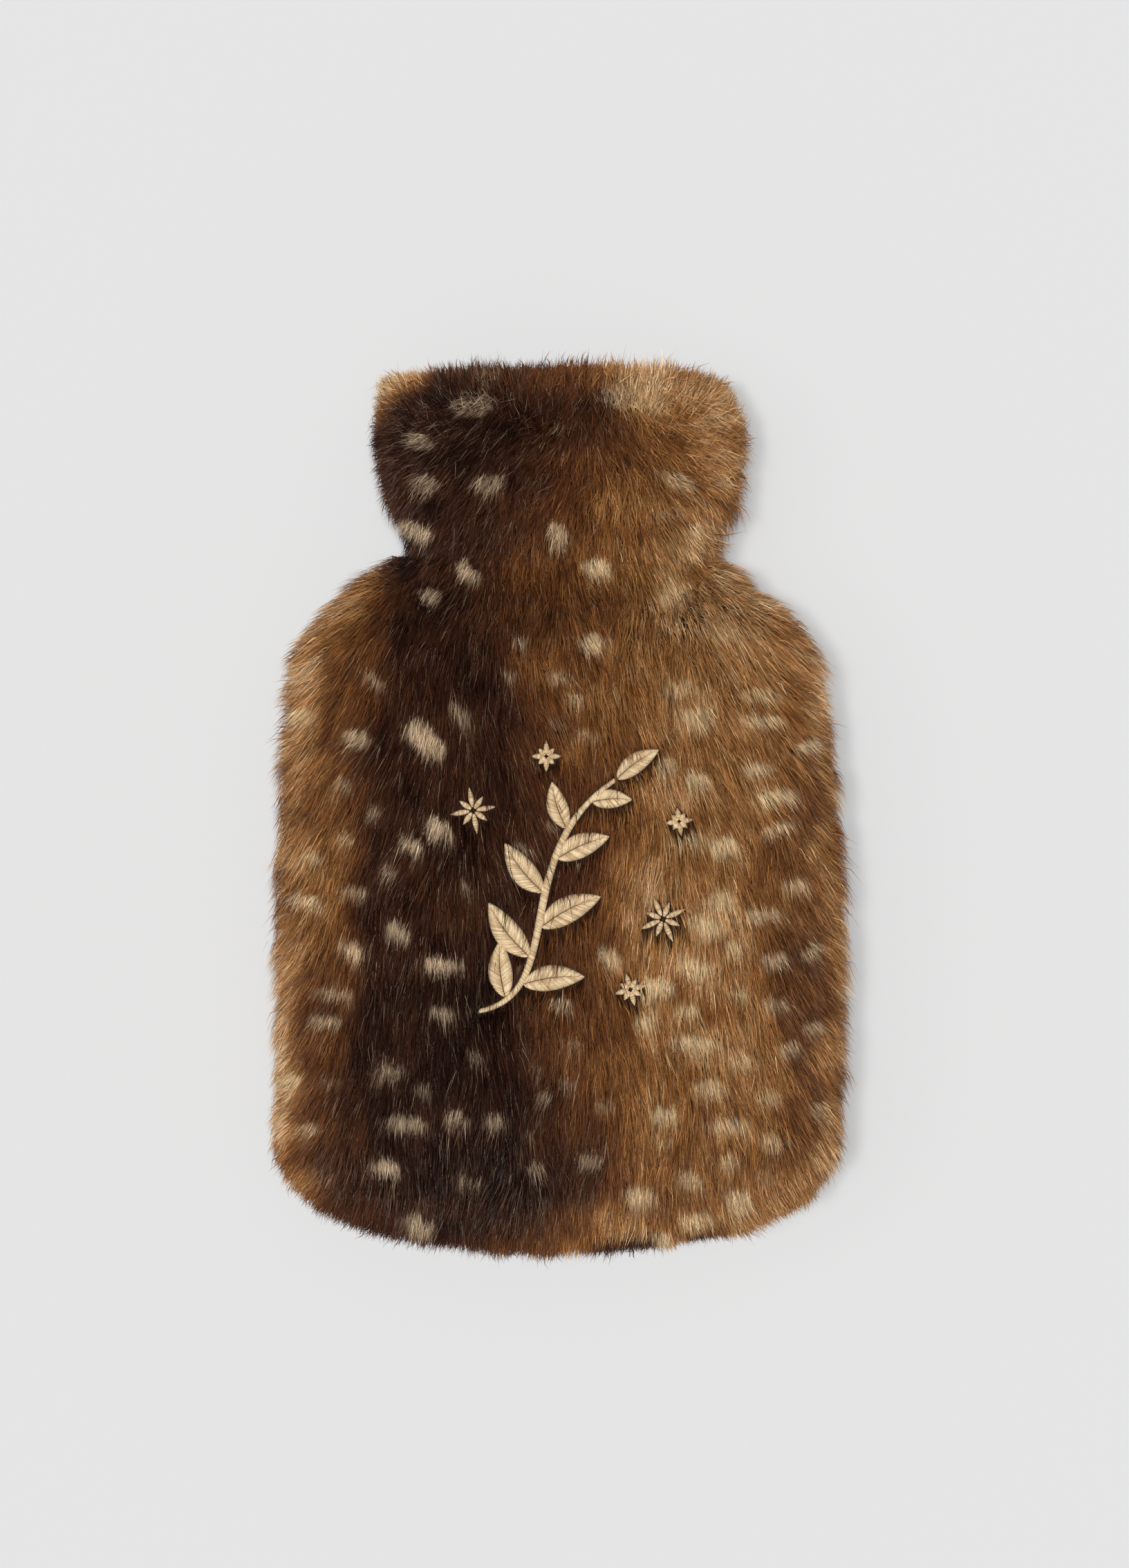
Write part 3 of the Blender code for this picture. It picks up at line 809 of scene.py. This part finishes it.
def gather(rng, places, size, pull, held):
    """Draws each hair towards the middle of its clump, more and more along its length."""
    root = places[:, 0]
    cell = np.floor(root / size).astype(int)
    best = np.full(len(root), np.inf)
    clump = np.zeros(len(root), np.int64)
    heart_jitter = rng.random((4096, 3))
    for step in np.ndindex(3, 3, 3):
        near = cell + np.array(step) - 1
        name = ((near[:, 0] + 512) * 1024 + near[:, 1] + 512) * 1024 + near[:, 2] + 512
        jitter = heart_jitter[name * 2654435761 % (1 << 32) >> 20]
        away = np.linalg.norm((near + jitter) * size - root, axis=1)
        closer = away < best
        best[closer] = away[closer]
        clump[closer] = name[closer]
    names, member = np.unique(clump, return_inverse=True)
    count = np.bincount(member)
    middle = np.stack([
        np.stack([np.bincount(member, places[:, s, k]) / count for k in range(3)], axis=-1)
        for s in range(HAIR_STEPS)
    ], axis=1)[member]
    strength = pull * rng.uniform(*CLUMP_PULL_RANGE, len(names))[member]
    along = UP_HAIR**1.3
    return places + (middle - places) * ((strength * held)[:, None] * along)[..., None]


def hem_below(x):
    """y of the hem's edge below each place."""
    full = half_across(x, HEM_TURN_Y)
    return HEM_TURN_Y + (HEM_Y - HEM_TURN_Y) * np.clip(1 - (x / full) ** 2, 0, 1) ** (1 / HEM_POWER)


def drawn_up(x, y):
    """Where the front's pile is drawn up at the hem, so the back's shows under it, from 0 to 1."""
    tufts = np.clip(0.7 + patches(x, y, "tufts at the hem"), 0, 1)
    return np.exp(-(((x - DRAWN_UP_X) / DRAWN_UP_WIDTH) ** 2)) * tufts * (y < DRAWN_UP_Y)


def grow(rng, count, rim_count, panel, stands, edge_share, drawn_share):
    """Hairs of one panel: their places from root to tip, the way out of the cloth at each, which of them are
    undercoat, and how far along it each place is lit."""
    y = rows_down(*ROOT_ROWS)
    root, out = spread_roots(rng, count - rim_count, panel, y)
    # Where the cloth is turned in at the mouth, the pile goes round the fold.
    rim_root, rim_out = spread_roots(rng, rim_count, panel, y[0] - np.linspace(0, FOLD_DEPTH, 3))
    fan = rng.uniform(*FOLD_FAN, (rim_count, 1))
    rim_out = rim_out * np.cos(fan) + np.array([0, 1, 0]) * np.sin(fan)
    rim_out /= np.linalg.norm(rim_out, axis=1, keepdims=True)
    root, out = np.concatenate([root, rim_root]), np.concatenate([out, rim_out])
    at_rim = np.arange(count) >= count - rim_count
    x, y = root[:, 0], root[:, 1]
    # Over the parting the pile is combed up to the mouth, and below it down. Where they meet, the hairs mix.
    parting = PARTING_Y + patches(x, y, "parting") + rng.normal(0, PARTING_SPREAD, count)
    combed_y = np.where(y > parting, np.maximum(y, COMBED_UP_Y), np.minimum(y, COMBED_DOWN_Y))
    comb = combed(x, combed_y) * np.where(at_rim, FOLD_COMBED, 1)[:, None]
    # Where the pile parts, hairs fall either way and cross.
    stray_turn = rng.uniform(-np.pi, np.pi, count)
    loose = CROSSED * np.clip(1 - np.linalg.norm(comb, axis=1), 0, 1) * ~at_rim
    comb = comb + np.stack([np.cos(stray_turn), np.sin(stray_turn)], axis=-1) * loose[:, None]
    on_collar = np.clip((y - COLLAR_Y) / COLLAR_FADE, 0, 1)
    turn = patches(x, y, "combing") + rng.normal(0, 1, count) * (TURN_SPREAD + TURN_SPREAD * on_collar)
    cos, sin = np.cos(np.radians(turn)), np.sin(np.radians(turn))
    hang = -HANG * (1 - np.abs(out[:, 2]))  # where the cloth is steep, the pile hangs down over it
    comb = np.stack([comb[:, 0] * cos - comb[:, 1] * sin, comb[:, 0] * sin + comb[:, 1] * cos, hang], -1)
    run = comb - out * (comb * out).sum(1, keepdims=True)
    lean = np.clip(np.linalg.norm(run, axis=1), 0, 1)
    under = rng.random(count) < UNDERCOAT_SHARE
    tuft = 1 + patches(x, y, "tufts")
    to_edge = np.minimum.reduce([half_across(x, y) - np.abs(x), MOUTH_Y - y, y - hem_below(x)])
    at_edge = np.clip((EDGE_REACH - to_edge) / EDGE_FADE, 0, 1)
    at_mouth = np.clip((MOUTH_REACH - (MOUTH_Y - y)) / MOUTH_FADE, 0, 1)
    uneven = 1 + at_edge * (patches(x, y, "locks") + rng.uniform(*EDGE_UNEVEN, count))
    uneven = uneven + at_mouth * rng.uniform(*MOUTH_UNEVEN, count)
    rows = np.array(BRUSHED_TABLE)[::-1]
    brushed = np.where(x < 0, np.interp(y, rows[:, 0], rows[:, 1]), np.interp(y, rows[:, 0], rows[:, 2]))
    brushed = brushed * (edge_share + drawn_share * drawn_up(x, y))
    tuft = tuft * uneven * (1 + (brushed - 1) * at_edge) * (1 - COLLAR_SHORTENED * on_collar)
    tuft = tuft * np.where(at_rim, 0.60 + 0.85 * rng.random(count) ** 1.8, 1.0)
    low, high = rng.uniform(*UNDERCOAT_LENGTHS, count), rng.uniform(*HAIR_LENGTHS, count)
    length = HAIR_LENGTH * tuft * np.where(under, low, high)
    low, high = rng.uniform(*UNDERCOAT_DEPTHS, count), rng.uniform(*HAIR_DEPTHS, count)
    depth = PILE_DEPTH * tuft * np.where(under, low, high) * (1 + stands * (1 - lean))
    depth = depth * np.where(rng.random(count) < FLYAWAY_SHARE, FLYAWAY_DEPTH, 1.0)
    places = (
        root[:, None]
        + out[:, None] * (depth[:, None] * HAIR_RISE)[..., None]
        + run[:, None] * (length[:, None] * HAIR_RUN)[..., None]
    )
    # Clumps loosen towards the sides, the hem and the mouth, where every hair ends in the open.
    held = (0.30 + 0.70 * np.clip((to_edge - LOOSE_REACH) / LOOSE_FADE, 0, 1)) * (0.4 + 0.6 * lean)
    for size, pull in zip(CLUMP_SIZES, CLUMP_PULLS):
        places = gather(rng, places, size, pull, held)
    places = places + rng.normal(0, TIP_SPREAD, places.shape) * UP_HAIR[None, :, None]
    # Hairs that stand are lit to their roots.
    along = np.maximum(UP_HAIR, LIT_STANDING * (1 - lean)[:, None])
    return places, out, under, along


def dye_and_painted_light(x, y, jitter):
    """The tone at each place, from 0, nearly black, to 1, pale gold: printed, with painted light on the hair
    tips along the left and right edges and painted shade in the neck's creases. Pale pile varies more.
    """
    rows = np.array(DYE_AND_EDGE_LIGHT_TABLE)[::-1]
    column = {name: np.interp(y, rows[:, 0], rows[:, i]) for i, name in enumerate(DYE_AND_EDGE_LIGHT_COLUMNS)}
    x = x + patches(x, y, "bands")
    tone = column["rim"]
    bands = DYE_AND_EDGE_LIGHT_COLUMNS[1::2]
    for band, following in zip(bands, bands[1:]):
        t = np.clip((x - column[band + "_to"]) / DYE_BLUR[band] + 0.5, 0, 1)
        tone = tone + (column[following] - column[band]) * t * t * (3 - 2 * t)
    tone = tone + patches(x, y, "mottle") * (0.5 + tone)
    # painted shade in the neck's creases
    painted_crease_shade = np.clip((-uneven_face(x, y) - CREASE_FROM) / CREASE_FADE, 0, 1)
    tone = tone - CREASE_PAINTED_SHADE * painted_crease_shade
    tone = tone + jitter * (0.4 + 1.2 * tone)
    return np.clip(tone, 0, 1)


def flecks(x, y):
    """How pale each place is, from 0 to 1."""
    pale = np.zeros(len(x))
    wobble = patches(x, y, "edges of flecks")
    for row in FLECKS:
        fleck = dict(zip(FLECK_COLUMNS, row))
        turn = math.radians(fleck["turn_deg"])
        cos, sin = math.cos(turn), math.sin(turn)
        middle_x, middle_y = fleck["x_mm"] / 1000, fleck["y_mm"] / 1000
        near = np.nonzero((np.abs(x - middle_x) < FLECK_REACH) & (np.abs(y - middle_y) < FLECK_REACH))[0]
        aside, up = x[near] - middle_x, y[near] - middle_y
        aside, up = aside * cos + up * sin, up * cos - aside * sin
        aside, up = aside / (fleck["wide_mm"] / 2000), up / (fleck["high_mm"] / 2000)
        t = np.clip((FLECK_SIZE + wobble[near] - np.hypot(aside, up)) / FLECK_BLUR, 0, 1)
        pale[near] = np.maximum(pale[near], fleck["pale"] * t * t * (3 - 2 * t))
    return pale


def on_chart(points):
    """Where points lie on the flecks' chart, which is drawn as seen from above, at the seam's height."""
    nearer = (CAMERA_HEIGHT - SEAM_HEIGHT) / (CAMERA_HEIGHT - points[..., 2])
    return [middle + (points[..., k] - middle) * nearer for k, middle in enumerate(VIEW_CENTRE)]


def flecked(rng, places):
    """For each hair, how pale its fleck is, and from where to where along it the fleck shows."""
    samples = np.linspace(FLECK_FROM, 1, FLECK_SAMPLES)
    step = np.minimum((samples * (HAIR_STEPS - 1)).astype(int), HAIR_STEPS - 2)
    share = (samples * (HAIR_STEPS - 1) - step)[None, :, None]
    passed = places[:, step] * (1 - share) + places[:, step + 1] * share
    chart_x, chart_y = on_chart(passed)
    pale = flecks(chart_x.ravel(), chart_y.ravel()).reshape(len(places), -1)
    most, at_most = pale.max(axis=1), pale.argmax(axis=1)
    inside = pale > FLECK_SHOWS * most[:, None]
    first, last = at_most.copy(), at_most.copy()
    hair, count = np.arange(len(places)), len(places)
    for _ in samples[1:]:
        before, after = np.maximum(first - 1, 0), np.minimum(last + 1, len(samples) - 1)
        first = np.where(inside[hair, before], before, first)
        last = np.where(inside[hair, after], after, last)
    start = samples[first] - FLECK_BEFORE + rng.normal(0, FLECK_WANDER, count)
    end = samples[last] + FLECK_AFTER + rng.normal(0, FLECK_WANDER, count)
    end = end + rng.exponential(FLECK_TRAIL, count)
    return most, start, end


# The colour of each tone, in the pile's linear red, green and blue.
DYE_RAMP = (
    (0.00, (0.014, 0.0052, 0.0036)),
    (0.12, (0.050, 0.0170, 0.0096)),
    (0.38, (0.138, 0.0475, 0.0160)),
    (0.60, (0.290, 0.1150, 0.0320)),
    (0.78, (0.482, 0.2400, 0.0820)),
    (1.00, (0.735, 0.5050, 0.2850)),
)
PILE_VALUES = ("Tone", "Along", "Hair", "Guard", "Up hair", "Fleck", "Fleck start", "Fleck end")
# Over what share of the hair a fleck comes, and then goes.
FLECK_EDGES = (("Fleck start", 0.14), ("Fleck end", -0.30))
dye_and_shade_group, dye_and_shade_in, dye_and_shade_out = new_group(
    "dyed pile", {**dict.fromkeys(PILE_VALUES, "Float"), "Fleck colour": "Color"}, {"Color": "Color"}
)


def reckon(operation, first, second, clamp=False):
    """The output of a math node in the group of the pile's dye and painted shade."""
    node = add_node(dye_and_shade_group, "Math", {0: first, 1: second}, operation=operation, use_clamp=clamp)
    return node.outputs["Value"]


tone_ramp = add_node(dye_and_shade_group, "ValToRGB", {"Fac": dye_and_shade_in["Tone"]})
ramp = tone_ramp.color_ramp
for place, colour in DYE_RAMP[1:-1]:
    ramp.elements.new(place)
for element, (place, colour) in zip(ramp.elements, DYE_RAMP):
    element.position = place
    element.color = (*colour, 1)
edges = [
    reckon("DIVIDE", reckon("SUBTRACT", dye_and_shade_in["Up hair"], dye_and_shade_in[socket]), softness, clamp=True)
    for socket, softness in FLECK_EDGES
]
fleck_pale = reckon("MULTIPLY", reckon("MULTIPLY", *edges), dye_and_shade_in["Fleck"])
over_tan = add_node(dye_and_shade_group, "Mix", {  # a fleck is yellower there
    "Factor": dye_and_shade_in["Tone"], "A": dye_and_shade_in["Fleck colour"], "B": (0.98, 1.0, 0.78, 1)
}, data_type="RGBA", blend_type="MULTIPLY")
# Flecks and pale hairs take the fleck's colour; the pale hairs' paleness is partly a painted glint.
fleck_mix = add_node(dye_and_shade_group, "Mix", {
    "Factor": reckon("ADD", fleck_pale, dye_and_shade_in["Guard"], clamp=True),
    "A": tone_ramp.outputs["Color"], "B": over_tan.outputs["Result"],
}, data_type="RGBA")
# Each hair is darker towards its root: partly its own darker root, partly painted shade deep in the pile. A
# hair that stands is lit further down its length.
root_shade = add_node(dye_and_shade_group, "MapRange", {
    "Value": dye_and_shade_in["Along"], "From Min": 0.0, "From Max": 0.75, "To Min": 0.30, "To Max": 1.15
})
hair_shade = add_node(dye_and_shade_group, "MapRange", {"Value": dye_and_shade_in["Hair"], "To Min": 0.38, "To Max": 1.76})
shaded = add_node(dye_and_shade_group, "VectorMath", {
    0: fleck_mix.outputs["Result"],
    "Scale": reckon("MULTIPLY", root_shade.outputs["Result"], hair_shade.outputs["Result"]),
}, operation="SCALE")
connect(dye_and_shade_group, dye_and_shade_out, {"Color": shaded.outputs["Vector"]})


def pile_fibre(name, fleck_colour):
    """The material of a panel's hairs, which reads each hair's values."""
    fibre = new_material(name, {
        "Roughness": 0.38, "Specular IOR Level": 0.18, "Specular Tint": (1.0, 0.82, 0.68, 1)
    })
    tree = fibre.node_tree
    dyed = add_node(tree, "Group", {"Fleck colour": (*fleck_colour, 1)}, node_tree=dye_and_shade_group)
    for value in PILE_VALUES:
        reader = add_node(tree, "Attribute", {}, attribute_name=value.lower().replace(" ", "_"))
        connect(tree, dyed, {value: reader.outputs["Fac"]})
    connect(tree, tree.nodes["Principled BSDF"], {"Base Color": dyed.outputs["Color"]})
    return fibre


def pile_piece(name, places, out, width, values, fibre):
    """Hairs as one mesh of narrow pointed ribbons, each turned at random about its own length."""
    rng = np.random.default_rng(len(places) + sum(map(ord, name)))
    count = len(places)
    direction = np.gradient(places, axis=1)
    direction /= np.maximum(np.linalg.norm(direction, axis=-1, keepdims=True), 1e-9)
    flat = np.cross(direction, out[:, None])
    flat /= np.maximum(np.linalg.norm(flat, axis=-1, keepdims=True), 1e-6)
    other = np.cross(direction, flat)
    roll = rng.uniform(-1.0, 1.0, count)[:, None, None]
    across = (flat * np.cos(roll) + other * np.sin(roll)) * (width[:, None] * HAIR_TAPER)[..., None] / 2
    left, right = places - across, places + across
    per_hair = 2 * HAIR_STEPS - 1
    verts = np.stack([left, right], axis=2).reshape(count, 2 * HAIR_STEPS, 3)[:, :per_hair]
    verts[..., 2] = np.maximum(verts[..., 2], FLOOR_CLEARANCE)
    each = np.arange(count)[:, None]
    corners = (RIBBON_CORNERS + each * per_hair).astype(np.int32)
    face_starts = (np.cumsum(RIBBON_FACES) - RIBBON_FACES + each * len(RIBBON_CORNERS)).astype(np.int32)
    mesh = bpy.data.meshes.new(name)
    mesh.vertices.add(count * per_hair)
    mesh.vertices.foreach_set("co", verts.ravel())
    mesh.loops.add(corners.size)
    mesh.loops.foreach_set("vertex_index", corners.ravel())
    mesh.polygons.add(face_starts.size)
    mesh.polygons.foreach_set("loop_start", face_starts.ravel())
    mesh.update(calc_edges=True)
    mesh.shade_smooth()
    step = np.arange(per_hair) // 2
    for attribute, value in {**values, "up_hair": np.tile(UP_HAIR, count)}.items():
        per_step = np.broadcast_to(value.reshape(count, -1), (count, HAIR_STEPS))
        layer = mesh.attributes.new(attribute, "FLOAT", "POINT")
        layer.data.foreach_set("value", per_step[:, step].astype(np.float32).ravel())
    # Each hair has a cell of its own in the map, with its root at the cell's foot.
    cells = math.ceil(math.sqrt(count))
    corner_u = np.array([0.15, 0.85, 0.15, 0.85, 0.5])[RIBBON_CORNERS]
    corner_v = (0.08 + 0.84 * UP_HAIR[step])[RIBBON_CORNERS]
    u = (each % cells + corner_u) / cells
    v = (each // cells + corner_v) / cells
    layer = mesh.uv_layers.new(name="OFBake")
    layer.data.foreach_set("uv", np.stack([u, v], axis=-1).astype(np.float32).ravel())
    piece = new_object(name, mesh)
    mesh.materials.append(fibre)
    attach(piece, "root")
    return piece


def lay_pile(panel, pieces, places, out, width, values, fibre):
    """A panel's hairs shared out in turn among its pieces, which all look alike."""
    laid = []
    for part in range(pieces):
        own = slice(part, None, pieces)
        own_values = {name: value[own] for name, value in values.items()}
        piece = pile_piece(f"{panel}_pile_{part + 1}", places[own], out[own], width[own], own_values, fibre)
        laid.append(piece)
    return laid


front_rng = np.random.default_rng(7)
places, out, under, along = grow(front_rng, FRONT_HAIRS, FRONT_RIM_HAIRS, "front",
                                 stands=0.15, edge_share=1.0, drawn_share=-0.58)

# The stitches press the pile down. A hair that would lie over them is shortened until it doesn't, or left
# out, but for a few strays and for tips that lie over the stitches' edges.
STRAY_SHARE = 0.010
OVERLAP_SHARE = 0.5
OVERLAP_FROM = 0.85  # along the upper half of a hair
SHORTENED_TO = (1.0, 0.75, 0.5, 0.3)
STITCH_CLEARANCE = 0.0003
STRAY_CLEARANCE = 0.0006
near = gap_to_stitches(places[:, 0, 0], places[:, 0, 1])
stray = front_rng.random(len(places)) < STRAY_SHARE
overlapping = front_rng.random(len(places)) < OVERLAP_SHARE
keep = np.zeros(len(places), bool)
shape = places - places[:, :1]
for size in SHORTENED_TO:
    tried = places[:, :1] + shape * size
    clear = np.full(len(places), STITCH_FAR)
    for s in range(HAIR_STEPS - 1):
        for share in (0, 0.2, 0.4, 0.6, 0.8, 1):
            passed = tried[:, s] * (1 - share) + tried[:, s + 1] * share
            gap = gap_to_stitches(passed[:, 0], passed[:, 1])
            over_edge = overlapping & (s == HAIR_STEPS - 2) & (share > OVERLAP_FROM * size)
            clear = np.where(over_edge, clear, np.minimum(clear, gap))
    fits = ~keep & ((clear > STITCH_CLEARANCE) | (stray & (near > STRAY_CLEARANCE)))
    places[fits] = tried[fits]
    keep |= fits
places, out, under, along = places[keep], out[keep], under[keep], along[keep]

# The dye and painted light: each hair takes the tone and the fleck that the chart has where the hair is
# seen, with a little of its own. The tone carries painted light at the outer edges and painted shade in the
# neck's creases. Where the pile is drawn up, the seam rolls with it, so the hairs beside the hem are dark.
TONE_SPREAD = 0.11
ROLL_WIDTH, ROLL_FADE = 0.0075, 0.0020
ROLL_GAIN, ROLL_DARKER = 1.7, 0.95
FAINT_FLECK_LIFT = 0.15  # a faint fleck is browner than a strong one
# Long pale hairs: their paleness is partly their own and partly a painted glint on the dark pile.
GUARD_SHARE = 0.10  # long pale hairs
GUARD_PALE = (0.05, 0.32)
FLECK_GAIN, FLECK_SPREAD = 1.42, 0.70
UNDERCOAT_WIDTH, GUARD_WIDTH = 1.5, 0.65  # shares of a hair's
count = len(places)
seen = places[:, 1] * 0.4 + places[:, 2] * 0.6
tone = dye_and_painted_light(seen[:, 0], seen[:, 1], front_rng.normal(0, TONE_SPREAD, count))
beside_hem = np.clip((hem_below(seen[:, 0]) + ROLL_WIDTH - seen[:, 1]) / ROLL_FADE, 0, 1)
rolled = np.clip(ROLL_GAIN * beside_hem * drawn_up(seen[:, 0], seen[:, 1]), 0, 1)
tone = tone * (1 - ROLL_DARKER * rolled)
pale, fleck_start, fleck_end = flecked(front_rng, places)
tone = tone + FAINT_FLECK_LIFT * pale * (1 - pale) * (1 - tone) ** 2
guard_hairs = ~under & (front_rng.random(count) < GUARD_SHARE)
guard = np.where(guard_hairs, front_rng.uniform(*GUARD_PALE, count), 0)
fleck = np.clip(FLECK_GAIN * pale - FLECK_SPREAD * front_rng.random(count), 0, 1) * (1 - rolled)
strand = patches(places[:, 0, 0], places[:, 0, 1], "strands")
hair = np.clip(0.66 * front_rng.random(count) + 0.17 + strand, 0, 1)
thickness = np.where(under, UNDERCOAT_WIDTH, np.where(guard_hairs, GUARD_WIDTH, 1))
width = HAIR_WIDTH * thickness * front_rng.uniform(*HAIR_WIDTHS, count)
values = {"along": along, "tone": tone, "hair": hair, "guard": guard,
          "fleck": fleck, "fleck_start": fleck_start, "fleck_end": fleck_end}
front_fibre = pile_fibre("front pile fibre", fleck_colour=(0.775, 0.568, 0.376))
front_pile = lay_pile("front", FRONT_PIECES, places, out, width, values, front_fibre)

# Back pile: the same knitted pile cloth, darker and without flecks. It is pressed flat where the cover lies
# on it and combed down to the hem, where it shows under the drawn-up front.
BACK_HAIRS = 84000
BACK_RIM_HAIRS = 6000
BACK_PIECES = 2
BACK_DARKER = 0.66
BACK_TONE_SPREAD = 0.09
BACK_GUARD_SHARE, BACK_GUARD_PALE = 0.06, 0.25
BACK_HAIR_WIDTH, BACK_UNDERCOAT_WIDTH = 1.1, 1.6  # shares of a front hair's
back_rng = np.random.default_rng(8)
places, out, under, along = grow(back_rng, BACK_HAIRS, BACK_RIM_HAIRS, "back",
                                 stands=0.10, edge_share=0.72, drawn_share=0.62)
count = len(places)
seen = places[:, 1] * 0.5 + places[:, 2] * 0.5
tone = dye_and_painted_light(seen[:, 0], seen[:, 1], back_rng.normal(0, BACK_TONE_SPREAD, count)) * BACK_DARKER
tone = tone * (1 - 0.6 * drawn_up(places[:, 0, 0], places[:, 0, 1]))
# Pale hairs of the back, whose paleness is partly a painted glint.
guard = np.where(back_rng.random(count) < BACK_GUARD_SHARE, BACK_GUARD_PALE, 0)
hair = back_rng.random(count)
thickness = np.where(under, BACK_UNDERCOAT_WIDTH, BACK_HAIR_WIDTH)
width = HAIR_WIDTH * thickness * back_rng.uniform(*HAIR_WIDTHS, count)
values = {"along": along, "tone": tone, "hair": hair, "guard": guard}
back_fibre = pile_fibre("back pile fibre", fleck_colour=(0.50, 0.36, 0.24))
back_pile = lay_pile("back", BACK_PIECES, places, out, width, values, back_fibre)
